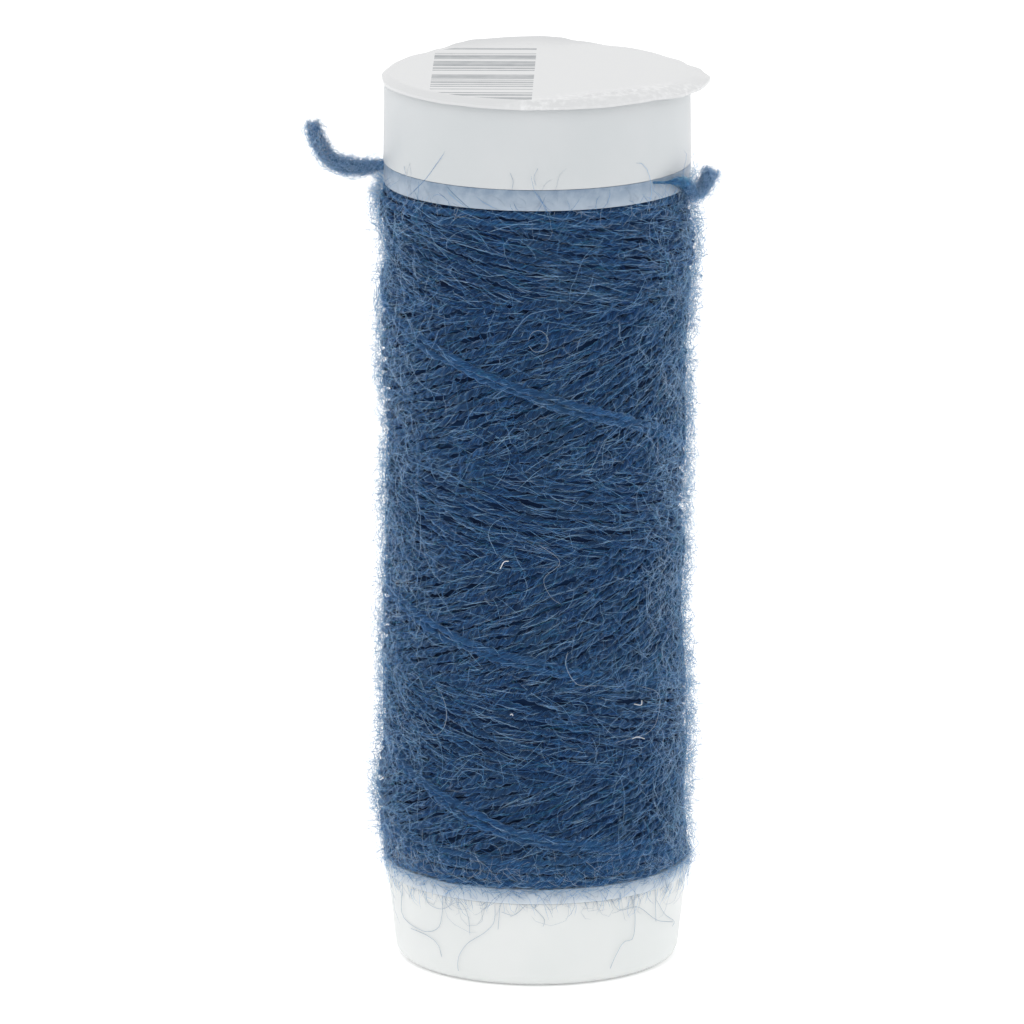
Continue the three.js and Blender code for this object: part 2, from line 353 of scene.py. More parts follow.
# %% [markdown]
# A swept piece is unwrapped by numbers, because its rings and steps already are the seams. One map
# is for the streaks. The other has no overlaps, so the colours can be baked on it.

# %% Give a swept piece its strand coordinates
# An unrolled strand is this many times as wide as the strand itself
UNROLLED = 2.6
# Room left free round each strand of the second map, as shares of its length and its width
ROOM_ALONG, ROOM_AROUND = 0.01, 0.06


def lay_strand_map(piece, count, steps, sides, length, first=0, band=(0.0, 1.0)):
    """A UV map with the strand's number plus the place around it, and the place along it in mm. A
    second one lays all strands out side by side in a band of the square."""
    j = np.arange(sides)
    around = np.stack([j, j + 1, j + 1, j], axis=-1) / sides
    around = np.broadcast_to(around, (count, steps - 1, sides, 4))
    low = np.arange(steps - 1) / (steps - 1)
    high = low + 1 / (steps - 1)
    along = np.stack([low, low, high, high], axis=-1)[None, :, None]
    along = np.broadcast_to(along, (count, steps - 1, sides, 4))
    number = np.broadcast_to(np.arange(count)[:, None, None, None], around.shape)
    cap_around = np.concatenate([j[::-1], j]).reshape(2, 1, sides) / sides
    cap_around = np.tile(cap_around, (1, count, 1)).ravel()
    cap_along = np.repeat([0.0, 1.0], count * sides)
    cap_number = np.tile(np.repeat(np.arange(count), sides), 2)

    around = np.concatenate([around.ravel(), cap_around])
    along = np.concatenate([along.ravel(), cap_along])
    number = np.concatenate([number.ravel(), cap_number])
    uv = np.column_stack([first + number + around, along * length])
    layer = piece.data.uv_layers.new(name="strand")
    layer.uv.foreach_set("vector", uv.astype(np.float32).ravel())

    columns = max(1, round(math.sqrt(count * STRAND_WIDTH * UNROLLED / length)))
    rows = math.ceil(count / columns)
    u = (number % columns + ROOM_ALONG + (1 - 2 * ROOM_ALONG) * along) / columns
    v = (number // columns + ROOM_AROUND + (1 - 2 * ROOM_AROUND) * around) / rows
    uv = np.column_stack([u, band[0] + (band[1] - band[0]) * v])
    layer = piece.data.uv_layers.new(name="OFBake")
    layer.uv.foreach_set("vector", uv.astype(np.float32).ravel())


lay_strand_map(yarn_tail, 1, TAIL_POINTS, len(PLY_SECTION), tail_length)
yarn_tail.data.materials.append(LOOSE_WOOL_PAINTED_LIGHT)

# %% [markdown]
# ## The winding
# The yarn was wound crosswise: the guide travelled up and down while the spool turned. So the
# strands on top climb to the right in some belts of height and fall to the right in the belts
# between, and where two belts meet each strand dives under its neighbours. All strands of a belt
# are parallel, one yarn width apart, which fixes how many there are on one turn of the spool.

# %% Shape of the wound surface
# Outer radius of the strands by height, from the flange below to the flange above
WOUND_HEIGHTS = [7.6, 8.4, 10.0, 12.0, 16.0, 20.0, 26.0, 34.0, 40.0, 46.5, 50.0, 55.0, 56.3, 57.2]
WOUND_RADII = [
    10.8, 10.92, 10.98, 11.13, 11.0, 10.97, 10.72, 10.78, 10.74, 11.0, 11.05, 11.25, 11.15, 10.8,
]
# The winding isn't quite straight: how far its middle lies to the left of the axis by height
LEAN_HEIGHTS = [
    7.6, 9.5, 12.5, 16.0, 20.0, 24.0, 27.0, 30.5, 35.0, 38.0, 41.5, 45.0, 48.7, 52.3, 56.0, 57.3,
]
LEANS = [
    0.0, 0.3, 0.5, 0.13, 0.16, 0.32, 0.36, 0.15, 0.2, 0.04, 0.15, 0.3, 0.11, -0.22, 0.27, 0.0,
]
# Heights this far off share in the radius at a height, so the measured ones join in soft curves
ROUNDING = 1.2
# The winding's radius wherever a length round the spool is worked out
MIDDLE_RADIUS = 11
# A strand gets a ring of points at each of these steps
STEP = 0.38

rng = np.random.default_rng(7)


def wound_radius(z):
    """Outer radius of the winding at a height, rounded between the measured heights."""
    offsets = np.linspace(-ROUNDING, ROUNDING, 7)
    radii = [np.interp(z + offset, WOUND_HEIGHTS, WOUND_RADII) for offset in offsets]
    return sum(radii) / len(offsets)


def lean(z):
    """How far the winding's middle lies to the left of the axis at a height."""
    return np.interp(z, LEAN_HEIGHTS, LEANS)


def on_spool(angle, radius, z):
    """Points from angles in degrees (from the front, positive to the right), radii and heights."""
    angle = np.radians(angle)
    x, y = radius * np.sin(angle) - lean(z), -radius * np.cos(angle)
    return np.stack([x, y, z + 0 * angle], axis=-1)


def wander(count, steps, length, bend):
    """Smooth random values around zero along each line, with bends of about that many mm."""
    run = np.linspace(0, length, steps)
    total = np.zeros((count, steps))
    for pace in (1.0, 1.7, 2.9):
        stretch = rng.uniform(0.8, 1.25, (count, 1))
        phase = rng.uniform(0, 2 * math.pi, (count, 1))
        total += np.sin(run * stretch * pace * math.pi / bend + phase) / pace
    return total / 1.3


# %% Lay the strands of one belt
# A strand's middle lies about half its thickness under the surface it makes
STRAND_SINK = 0.36
# Over this height past its belt a strand dives to this depth, and where it begins varies
DIVE_REACH, DIVE_DEPTH, DIVE_VARIES = 1.2, 0.42, 0.8
# Just under the upper flange
HIGHEST_STRAND = 56.9
# How far a strand strays up or down, and in or out
STRAYS_UP, STRAYS_OUT = 0.14, 0.1


def belt_strands(low, high, rise, spacing, sway, sway_at, lift):
    """Lines of the strands between two heights. Rise is their climb in mm for a full turn, negative
    where they fall, and sway varies it round the spool."""
    count = round(abs(rise) / spacing)
    table_angle = np.arange(-1080, 1081, 2.0)
    climb = rise * table_angle / 360 + sway * np.sin(np.radians(table_angle - sway_at))
    order = np.argsort(climb)
    bottoms = low - DIVE_REACH + rng.uniform(-DIVE_VARIES, DIVE_VARIES, count)
    tops = high + DIVE_REACH + rng.uniform(-DIVE_VARIES, DIVE_VARIES, count)
    one_turn = math.hypot(2 * math.pi * MIDDLE_RADIUS, rise)
    length = (high - low + 2 * DIVE_REACH) / abs(rise) * one_turn
    steps = round(length / STEP) + 1
    share = np.linspace(0, 1, steps)
    z = bottoms[:, None] + (tops - bottoms)[:, None] * share
    own = np.arange(count)[:, None] * rise / count - low
    angle = np.interp(z + own, climb[order], table_angle[order])
    z = np.minimum(z + STRAYS_UP * wander(count, steps, length, bend=6.0), HIGHEST_STRAND)
    beyond = np.maximum(bottoms[:, None] + DIVE_REACH - z, z - tops[:, None] + DIVE_REACH)
    dive = DIVE_DEPTH * np.clip(beyond / DIVE_REACH, 0, 1) ** 1.5
    radius = wound_radius(z) - STRAND_SINK + lift - dive
    radius = radius + STRAYS_OUT * wander(count, steps, length, bend=3.5)
    return on_spool(angle, radius, z), length


# %% Sweep a set of strands
# Wool yarn is thicker and thinner along its length, by about this share
UNEVEN = 0.17


def sweep_strands(name, groups, wool):
    """One piece of that wool from groups of lines. Each group is (lines, length of a line)."""
    areas = np.array([len(lines) * length for lines, length in groups])
    bands = np.concatenate([[0], np.cumsum(areas) / areas.sum()])
    pieces, first = [], 0
    for (lines, length), low, high in zip(groups, bands, bands[1:]):
        count, steps, _ = lines.shape
        turn = twisted(count, steps, length, rng.uniform(0, math.pi, count))
        widths = 1 + UNEVEN * wander(count, steps, length, bend=2.2)
        piece = sweep(name, lines, PLY_SECTION, widths, turn)
        lay_strand_map(piece, count, steps, len(PLY_SECTION), length, first, (low, high))
        piece.data.materials.append(wool)
        pieces.append(piece)
        first += count
    bpy.ops.object.select_all(action="DESELECT")
    for piece in pieces:
        piece.select_set(True)
    bpy.context.view_layer.objects.active = pieces[0]
    bpy.ops.object.join()
    joined = bpy.context.object
    joined.name = name
    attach(joined, "root")
    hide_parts("yarn_body")


# %% The belts that climb and the belts that fall
# The belts overlap a little. Climbing strands were wound over the falling ones.
CLIMB = {"rise": 23.4, "spacing": 0.72, "lift": 0.06}
FALL = {"rise": -12.6, "spacing": 0.7, "lift": -0.04}
CLIMBING_BELTS = [(9.6, 15.6), (22.4, 31.1), (38.4, 49.3)]
FALLING_BELTS = [(15.4, 22.6), (30.9, 38.6), (49.1, 56.2)]
# For each belt, how far its strands sway in mm and at what angle
CLIMBING_SWAY = [(0.9, 40), (1.2, 60), (1.2, 60)]
FALLING_SWAY = [(0.6, 150), (0.5, 60), (0.6, 120)]

for name, belts, sways, lay in (
    ("strands_climbing", CLIMBING_BELTS, CLIMBING_SWAY, CLIMB),
    ("strands_falling", FALLING_BELTS, FALLING_SWAY, FALL),
):
    groups = [
        belt_strands(low, high, sway=sway, sway_at=sway_at, **lay)
        for (low, high), (sway, sway_at) in zip(belts, sways)
    ]
    sweep_strands(name, groups, WOOL)

# %% [markdown]
# The strands that were laid last run over all the others, down round the spool, and the turns
# next to the two flanges lie almost flat, because the guide turned back there. Their paths are
# given by the angle round the spool and the height, as they were followed in the picture.

# %% The strands laid last and the flat turns
LAST_ANGLES = [-150, -64, 38, 180, 303, 351, 420, 560, 663, 714, 790]
LAST_HEIGHTS = [52.6, 48.1, 41.2, 33.0, 27.1, 24.3, 21.5, 18.6, 15.7, 11.2, 9.2]
# Angles, and how much of their lift the strands have there: in between they sink into the others
LAST_RAISED = (
    [40, 70, 270, 300, 350, 380, 630, 660, 720, 760], [1, 0.1, 0.1, 1, 1, 0.1, 0.1, 1, 1, 0.3],
)
FOOT_ANGLES = [-120, -77, -50, -28, 2, 19, 65, 120, 200]
FOOT_HEIGHTS = [9.6, 9.9, 10.1, 9.4, 8.9, 9.4, 8.8, 9.0, 8.6]
# Bends are eased over this many degrees, and a path's ends dive under over as many as the second
BEND_EASE, END_REACH = 20.0, 14.0
END_DEPTH = 0.7
# They stray less than the strands of the belts
PATH_STRAYS_UP, PATH_STRAYS_OUT = 0.09, 0.05


def path_strands(angles, heights, offsets, lifts, raised_at=((0,), (1.0,))):
    """Strands side by side along a path that is given by angle and height. For each strand there is
    its offset in height and its lift, and raised_at gives the share of the lift by angle."""
    length = (angles[-1] - angles[0]) * math.radians(1) * MIDDLE_RADIUS
    steps = round(length / STEP) + 1
    angle = np.linspace(angles[0], angles[-1], steps)
    z = sum(np.interp(angle + shift, angles, heights) for shift in (-BEND_EASE, 0, BEND_EASE)) / 3
    count = len(offsets)
    z = z + np.array(offsets)[:, None]
    z = z + PATH_STRAYS_UP * wander(count, steps, length, bend=6.0)
    ends = np.minimum(angle - angles[0], angles[-1] - angle)
    dive = END_DEPTH * (1 - np.clip(ends / END_REACH, 0, 1)) ** 1.5
    lift = np.array(lifts)[:, None] * np.interp(angle, *raised_at)
    radius = wound_radius(z) - STRAND_SINK + lift - dive
    radius = radius + PATH_STRAYS_OUT * wander(count, steps, length, bend=5.0)
    return on_spool(np.broadcast_to(angle, z.shape), radius, z), length


last_strands = path_strands(LAST_ANGLES, LAST_HEIGHTS, [-0.25, 0.25], [0.26, 0.34], LAST_RAISED)
sweep_strands("strands_laid_last", [
    last_strands,
    path_strands(FOOT_ANGLES, FOOT_HEIGHTS, [-0.3, 0.3], [0.16, 0.2]),
    path_strands([-190, 0, 190], [7.84, 7.79, 7.84], [0.0, 0.5, 1.1], [0.28, 0.18, 0.05]),
    path_strands([-170, 0, 185], [56.6, 56.7, 56.55], [0.0, -0.6], [0.0, 0.05]),
], OUTER_WOOL_PAINTED_LIGHT)

# %% [markdown]
# Between the strands the eye meets older layers in deep shade. A plain round core, a little under
# the strands, closes the view, and its wool is coloured darker than the strands': painted shade.
# It is raised by hand from one circle: the ring is extruded and resized once for each height, and
# the two ends are filled. Then its rings are pushed aside as the strands are, because the winding
# isn't quite straight.

# %% Raise a round solid from a circle
def raised(name, profile, around, filled=True):
    """A round solid. The profile is [radius, height] in mm from its first ring to its last one. The
    ends are filled, or else the last ring is merged with the first."""
    radius, z = profile[0]
    bpy.ops.object.select_all(action="DESELECT")
    bpy.ops.mesh.primitive_circle_add(vertices=around, radius=radius * MM, location=(0, 0, z * MM))
    piece = bpy.context.object
    piece.name = piece.data.name = name
    bpy.ops.object.transform_apply()
    bpy.ops.object.mode_set(mode="EDIT")
    bpy.ops.mesh.select_all(action="SELECT")
    if filled:
        bpy.ops.mesh.edge_face_add()
    for new_radius, new_z in profile[1:]:
        bpy.ops.mesh.extrude_region_move(TRANSFORM_OT_translate={"value": (0, 0, (new_z - z) * MM)})
        ratio = new_radius / radius
        bpy.ops.transform.resize(value=(ratio, ratio, 1), center_override=(0, 0, new_z * MM))
        radius, z = new_radius, new_z
    bpy.ops.mesh.select_all(action="SELECT")
    bpy.ops.mesh.remove_doubles(threshold=0.001 * MM)
    bpy.ops.mesh.normals_make_consistent(inside=False)
    bpy.ops.object.mode_set(mode="OBJECT")
    print(name, len(piece.data.vertices), "vertices")
    return piece


# %% The dark core
# The core lies this far under the strands' surface, and it has a ring at each of these heights
CORE_UNDER = 0.41
CORE_HEIGHTS = [7.62, *np.arange(8.4, 56.5, 1.2), 57.1]
profile = [(float(wound_radius(z)) - CORE_UNDER, float(z)) for z in CORE_HEIGHTS]
core = raised("older_layers", profile, 96)
for vertex in core.data.vertices:
    vertex.co.x -= lean(vertex.co.z / MM) * MM
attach(core, "root")
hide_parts("yarn_body")


def deep_wool_painted_shade_material():
    """The older layers: the same wool in darker tones, which paint their shade, with streaks round
    the spool.
    """
    material, add, shade = new_material("wool_deep_layers_painted_shade")
    place = add("ShaderNodeTexCoord").outputs["Object"]
    layers = add("ShaderNodeMapping", {"Vector": place, "Scale": (0.3 / MM, 0.3 / MM, 2.2 / MM)})
    tone = add(
        "ShaderNodeTexNoise", {"Vector": layers.outputs["Vector"], "Scale": 1.0, "Detail": 3.0},
    )
    colour = add("ShaderNodeValToRGB", {"Fac": tone.outputs["Fac"]})
    ramp = colour.color_ramp.elements
    # Both tones are darker than the strands' wool: painted shade of the deep layers
    ramp[0].position, ramp[0].color = 0.35, linear("#08172f")
    ramp[1].position, ramp[1].color = 0.7, linear("#163154")
    shade({"Base Color": colour.outputs["Color"], "Roughness": 0.95, "Specular IOR Level": 0.1})
    return material


core.data.materials.append(deep_wool_painted_shade_material())

# %% [markdown]
# ## Fuzz
# Wool fibres stand off the yarn in thousands. They lie over the strands in long loose bows, hang
# over the flanges and the cup, and make a pale frizzy edge against the light. Each one is a thin
# closed tube of three sides, a few hundredths of a millimetre thick as the real ones are. Their
# colours are plain ones, set per fibre, because a single fibre shows no pattern. A wool fibre is
# slightly clear: light goes in and comes out all round, which makes the haze pale against the
# light. Subsurface scattering gives that, and it is why fibres look paler than their yarn.

# %% Fibre colours
FIBRE_COLOURS = {
    "wool_fibre_light": "#6d9bd2",
    "wool_fibre_mid": "#3365a1",
    "wool_fibre_blue": "#1b437f",
    "wool_fibre_undyed": "#4a6485",
    "wool_fibre_pale": "#98a8bb",
    "wool_fibre_white": "#d5d9de",
}
# The share of the light that goes in, for the fibres that don't let all of it in
FIBRE_DEPTHS = {"wool_fibre_pale": 0.5, "wool_fibre_white": 0.3}


def fibre_material(name, colour):
    material, _, shade = new_material(name)
    shade({
        "Base Color": linear(colour), "Roughness": 0.7, "Specular IOR Level": 0.15,
        "Subsurface Weight": FIBRE_DEPTHS.get(name, 1.0), "Subsurface Radius": (1.0, 1.0, 1.0),
        "Subsurface Scale": 0.1 * MM,
    })
    return material


FIBRES = [fibre_material(name, colour) for name, colour in FIBRE_COLOURS.items()]
LIGHT, MID, BLUE, UNDYED, PALE, WHITE = range(6)
FIBRE_RADIUS = 0.018
FIBRE_SECTION = FIBRE_RADIUS * np.array([(1.0, 0.0), (-0.5, 0.866), (-0.5, -0.866)])


def fibre_piece(name, lines, slots, thickness=1.0):
    """One piece of fibres, each with the number of its colour."""
    piece = sweep_pointed(name, lines, FIBRE_SECTION * thickness, slots)
    for fibre in FIBRES:
        piece.data.materials.append(fibre)
    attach(piece, "root")


# %% What a fibre lies on
# Outer radius by height over the cup, the winding, the flanges and the lid
SKIN_HEIGHTS = [0.0, 1.0, 6.4, 7.5, 7.7] + WOUND_HEIGHTS[1:-1] + [57.2, 57.4, 64.5]
SKIN_RADII = [9.3, 10.28, 10.88, 11.02, 10.9] + WOUND_RADII[1:-1] + [11.0, 11.03, 11.05]


def skin_radius(z):
    return np.interp(z, SKIN_HEIGHTS, SKIN_RADII)


# %% Grow fibres on the spool
# Least and greatest angle, least and greatest height
ALL_ROUND = (-180, 180, 7.9, 56.9)
# A fibre is pressed into the surface by the first, goes no deeper than the second, and stands off
# no more than the third
PRESSED_IN, DEEPEST, HIGHEST = 0.04, 0.05, 1.0


def clumps(angle, z):
    """Fuzz stands off more in some places than in others: a factor about one."""
    return 1 + 0.3 * np.sin(1.9 * z + 0.07 * angle) + 0.25 * np.sin(4.7 * z - 0.11 * angle)


def grow(count, steps, length, heading, curl, height, where=ALL_ROUND, free=0.5):
    """Lines of fibres from random starts in a range of angles and heights. Length, curl and height
    are (least, spread) for each fibre: curl is the change of its direction in radians for each mm,
    height how far it stands off. Free is the share that has a loose end standing out."""
    angle_low, angle_high, z_low, z_high = where
    start_angle = rng.uniform(angle_low, angle_high, count)
    start_z = rng.uniform(z_low, z_high, count)
    length = length[0] + length[1] * rng.random(count) ** 1.5
    curl = (curl[0] + curl[1] * rng.random(count)) * rng.choice([-1, 1], count)
    height = height[0] + height[1] * rng.exponential(1, count)
    height *= clumps(start_angle, start_z)
    pace = (length / (steps - 1))[:, None]
    bends = curl[:, None] * (1 + 0.7 * rng.normal(0, 1, (count, steps)))
    direction = heading(start_z)[:, None] + np.cumsum(bends * pace, axis=1)
    right = np.cumsum(np.cos(direction) * pace, axis=1)
    z = start_z[:, None] + np.cumsum(np.sin(direction) * pace, axis=1)
    angle = start_angle[:, None] + np.degrees(right / MIDDLE_RADIUS)
    run = np.linspace(0, 1, steps)
    shape = np.where(rng.random((count, 1)) < free, run**0.8, np.sin(run * math.pi) ** 0.7)
    off = np.minimum(height, HIGHEST)[:, None] * shape
    off = off * (1 + 0.2 * rng.normal(0, 1, (count, steps)))
    return on_spool(angle, skin_radius(z) + np.maximum(off - PRESSED_IN, -DEEPEST), z)


# %% Directions for fibres
# How steeply the strands on top climb to the right, in radians
CLIMBING_SLOPE, FALLING_SLOPE = 0.31, -0.17


def along_strands(spread):
    """Directions near the strands' own, either way round."""
    def heading(z):
        climbing = sum((z > low) & (z < high) for low, high in CLIMBING_BELTS)
        slope = np.where(climbing > 0, CLIMBING_SLOPE, FALLING_SLOPE)
        return slope + rng.normal(0, spread, len(z)) + math.pi * (rng.random(len(z)) < 0.5)
    return heading


def upwards(middle, spread):
    """Directions about a middle one, in radians up from the right."""
    return lambda z: rng.normal(middle, spread, len(z))


def sideways(middle, spread):
    """Directions to the right and to the left, about a middle one in radians up from level."""
    def heading(z):
        slope = rng.normal(middle, spread, len(z))
        return np.where(rng.random(len(z)) < 0.5, slope, math.pi - slope)
    return heading


def colours(count, light, mid, blue, undyed):
    """Random colour numbers in these shares."""
    return rng.choice([LIGHT, MID, BLUE, UNDYED], count, p=[light, mid, blue, undyed])


# %% Fibres along the strands
count = 9600
along = grow(count, 4, (1.3, 2.8), along_strands(0.08), (0.0, 0.12), (0.02, 0.04), free=0.2)
fibre_piece("fuzz_along_strands", along, colours(count, 0.3, 0.35, 0.3, 0.05), thickness=0.9)

# %% Frizz with loose ends
count = 2000
frizz = grow(count, 5, (0.7, 1.8), along_strands(0.25), (0.1, 0.8), (0.05, 0.1), free=0.5)
fibre_piece("fuzz_frizz", frizz, colours(count, 0.1, 0.5, 0.32, 0.08), thickness=0.8)

# %% Haze of curly fibres
# Seen from the front the haze is thin, and at the sides of the spool, where the eye looks along
# it, it adds up to a pale soft edge. The two sides carry more of it, and more of it is light there:
# that share of light fibres is painted light, which makes the left and right edges paler.
# For each part: how many, from and to which angle, height off the yarn, and the share of light ones
HAZE = [
    ("all_round", 2500, -180, 180, (0.32, 0.24), 0.1),
    ("left", 2500, -130, -50, (0.36, 0.28), 0.5),
    ("right", 3500, 50, 130, (0.44, 0.3), 0.65),
]
# The higher shares of light fibres on the left and right are painted light on the spool's edges
for part, count, low, high, height, light in HAZE:
    where = (low, high, 8.6, 56.9)
    haze = grow(count, 7, (1.2, 2.6), along_strands(0.4), (0.1, 0.9), height, where, 0.4)
    haze_colours = colours(count, light, 0.94 - light, 0.04, 0.02)
    fibre_piece("fuzz_haze_" + part, haze, haze_colours, thickness=0.62)

# %% Fibre ends that stand off
count = 4000
where = (-180, 180, 8.8, 56.0)
ends = grow(count, 4, (0.15, 0.5), along_strands(1.5), (1.0, 2.5), (0.4, 0.28), where, 1.0)
fibre_piece("fuzz_ends", ends, colours(count, 0.15, 0.6, 0.2, 0.05), thickness=0.8)

# %% Long bows and curls
count, curls = 280, 130
bows = grow(count, 9, (2.5, 4.5), along_strands(0.5), (0.05, 0.4), (0.05, 0.07), free=0.3)
rings = grow(curls, 9, (2.5, 3.5), along_strands(1.5), (0.6, 0.7), (0.08, 0.08), free=0.3)
long_ones = np.concatenate([bows, rings])
long_colours = colours(count + curls, 0.4, 0.5, 0.08, 0.02)
fibre_piece("fuzz_long", long_ones, long_colours, thickness=0.8)

# %% Fringes over the two flanges
# Some lie flat round the foot of the winding and soften its edge, some droop over the flange
# there, and two tufts stand off where the loose yarn leaves the winding
FRINGES = [
    (1600, (1.0, 2.0), sideways(-0.05, 0.15), (0.0, 0.7), (0.08, 0.14), (-180, 180, 7.4, 8.1), 0.4),
    (260, (0.6, 1.2), upwards(2.6, 0.8), (0.4, 1.6), (0.3, 0.3), (-104, -76, 56.0, 57.3), 0.8),
    (130, (0.6, 1.0), upwards(1.6, 0.9), (0.4, 1.6), (0.2, 0.2), (58, 108, 56.0, 57.4), 0.8),
    (1100, (0.7, 1.4), sideways(-0.25, 0.3), (0.1, 1.1), (0.05, 0.1), (-180, 180, 7.1, 7.9), 0.4),
]
fringes = np.concatenate([grow(count, 5, *rest) for count, *rest in FRINGES])
fringe_colours = rng.choice([LIGHT, MID, PALE], len(fringes), p=[0.5, 0.35, 0.15])
fibre_piece("fuzz_fringes", fringes, fringe_colours, thickness=0.6)

# %% Thin hairs on the flanges
# Longer and thinner ones lie loosely on the upper flange and hang in curls over the lower one
HAIRS = [
    (170, (0.8, 2.2), upwards(1.5, 1.3), (0.5, 1.2), (0.03, 0.06), (-180, 180, 56.6, 57.6), 0.3),
    (230, (1.2, 4.6), sideways(-0.3, 0.5), (0.3, 1.3), (0.05, 0.1), (-180, 180, 7.0, 7.9), 0.3),
]
hairs = np.concatenate([grow(count, 9, *rest) for count, *rest in HAIRS])
fibre_piece("fuzz_hanging", hairs, np.full(len(hairs), PALE), thickness=0.5)

# %% [markdown]
# Some hairs are long enough to be followed one by one in the photograph: the loops that hang over
# the cup, a few on the lid and the flange, and the curls and white flecks on the yarn. They are
# traced over the picture, as one would draw a curve over a reference image: each point is a place
# in the picture, and its ray from the camera is followed to the surface.

# %% Trace hairs over the picture
PICTURE_SIZE = 1024
SENSOR_WIDTH = 36.0


def seen_at(x, y, stand_off):
    """The point of the spool's skin that shows at a place of the picture, in mm."""
    right = (x - PICTURE_SIZE / 2) / PICTURE_SIZE * SENSOR_WIDTH / camera.data.lens
    up = (PICTURE_SIZE / 2 - y) / PICTURE_SIZE * SENSOR_WIDTH / camera.data.lens
    sin, cos = math.sin(CAMERA_ABOVE), math.cos(CAMERA_ABOVE)
    ray = np.array([right, cos + up * sin, up * cos - sin])
    start = np.array(camera_place) / MM
    z = LOOKS_AT[2]
    # The skin's radius depends on the height that is looked for, so a few rounds close in on it
    for _ in range(6):
        radius = skin_radius(z) + stand_off
        a = ray[0] ** 2 + ray[1] ** 2
        b = start[0] * ray[0] + start[1] * ray[1]
        c = start[0] ** 2 + start[1] ** 2 - radius**2
        point = start + ray * (-b - math.sqrt(max(b * b - a * c, 0.0))) / a
        z = point[2]
    return point


TRACED_HAIRS = [
    [(402, 888), (403, 916), (423, 931), (438, 928), (442, 914), (443, 897)],
    [(410, 928), (428, 936), (438, 945), (442, 958)],
    [(425, 890), (428, 903), (442, 909), (459, 902), (468, 916), (470, 936)],
    [(495, 903), (494, 922), (484, 933), (468, 943), (459, 956), (458, 969), (462, 976)],
    [(500, 905), (498, 930)],
    [(531, 905), (544, 919), (543, 927)],
    [(631, 895), (635, 914), (633, 938), (623, 943), (612, 964), (609, 976)],
    [(655, 882), (656, 922)],
    [(656, 899), (665, 914), (674, 921), (672, 927)],
    [(609, 895), (619, 910), (638, 907), (657, 920), (674, 922)],
    [(501, 912), (514, 915), (526, 905)],
    [(512, 190), (513, 181), (510, 173)],
    [(536, 186), (534, 177), (538, 168)],
    [(406, 176), (405, 171), (404, 166)],
    [(420, 712), (427, 727), (436, 735), (445, 725), (446, 708), (440, 690)],
    [(640, 686), (658, 693), (659, 712), (649, 732), (614, 743)],
    [(528, 345), (535, 352), (545, 349), (548, 339), (541, 331), (532, 333), (528, 342)],
    [(568, 651), (566, 666), (577, 684), (597, 686)],
    [(538, 544), (560, 562), (544, 579), (551, 597), (562, 605)],
    [(634, 704), (641, 705), (642, 700)],
    [(632, 739), (638, 737), (645, 739)],
    [(500, 569), (504, 562), (509, 561)],
    [(510, 715), (512, 714), (513, 716)],
]
# The last four are thicker white flecks
WHITE_FLECKS = 4
HAIR_POINTS = 24

traced = []
for hair in TRACED_HAIRS:
    stand_off = rng.uniform(0.05, 0.12)
    traced.append(smooth_route([seen_at(x, y, stand_off) for x, y in hair], HAIR_POINTS)[0])
traced = np.array(traced)
hairs, flecks = traced[:-WHITE_FLECKS], traced[-WHITE_FLECKS:]
fibre_piece("fuzz_traced", hairs, np.full(len(hairs), PALE))
fibre_piece("fuzz_white_flecks", flecks, np.full(len(flecks), WHITE), thickness=2.4)

# %% [markdown]
# The loose yarn has been handled more than the rest, so it is the fuzziest: fibres wind along it,
# stand off it and splay out at the two cut ends. Half of them have a loose end and half are loops.
# A fibre that would run on past a cut end is folded back there, so the end stays blunt and full.
# The strands laid last stand free of the others and have fuzz of their own.

# %% Fuzz along a yarn
# The frame that fibres wind round goes on this far past the yarn, and fibres go this far past it
FRAME_PAST_END, FIBRES_PAST_END = 1.0, 0.4


def fibres_round(route, thickness, start, steps, length, slant, height, inner=0.9):
    """Fibres along a yarn from places in mm along its route. Thickness is its radius at each point
    of the route, slant the spread of the fibres' angle to it, height how far they stand off, and
    inner their least distance from the middle as a share of the radius."""
    count = len(start)
    run = np.concatenate([[0], np.cumsum(np.linalg.norm(np.diff(route, axis=0), axis=1))])
    before = route[0] + (route[0] - route[1]) / (run[1] - run[0]) * FRAME_PAST_END
    after = route[-1] + (route[-1] - route[-2]) / (run[-1] - run[-2]) * FRAME_PAST_END
    longer = np.vstack([before, route, after])
    side, up = (directions[0] for directions in across_lines(longer[None]))
    longer_run = np.concatenate([[-FRAME_PAST_END], run, [run[-1] + FRAME_PAST_END]])
    slant = rng.normal(0, slant, count)
    length = length * rng.uniform(0.5, 1.2, count) * rng.choice([-1, 1], count)
    t = np.linspace(0, 1, steps)
    place = start[:, None] + np.outer(length * np.cos(slant), t)
    past_end = rng.uniform(0.0, FIBRES_PAST_END, (count, 1))
    place = np.abs(place + past_end) - past_end
    place = run[-1] + past_end - np.abs(run[-1] + past_end - place)
    radius = np.interp(place, run, thickness)
    around = rng.uniform(0, 2 * math.pi, (count, 1))
    around = around + np.outer(length * np.sin(slant), t) / radius
    shape = np.where(rng.random((count, 1)) < 0.5, t**0.8, np.sin(t * math.pi) ** 0.7)
    off = np.abs(rng.normal(0, height, (count, 1))) * shape
    off = off * (1 + 0.2 * rng.normal(0, 1, (count, steps)))
    distance = (rng.uniform(inner, 1, (count, 1)) + off / radius.max()) * radius

    def at(rows):
        return np.stack([np.interp(place, longer_run, rows[:, axis]) for axis in range(3)], axis=-1)

    across = np.cos(around)[..., None] * at(side) + np.sin(around)[..., None] * at(up)
    return at(longer) + across * distance[..., None]


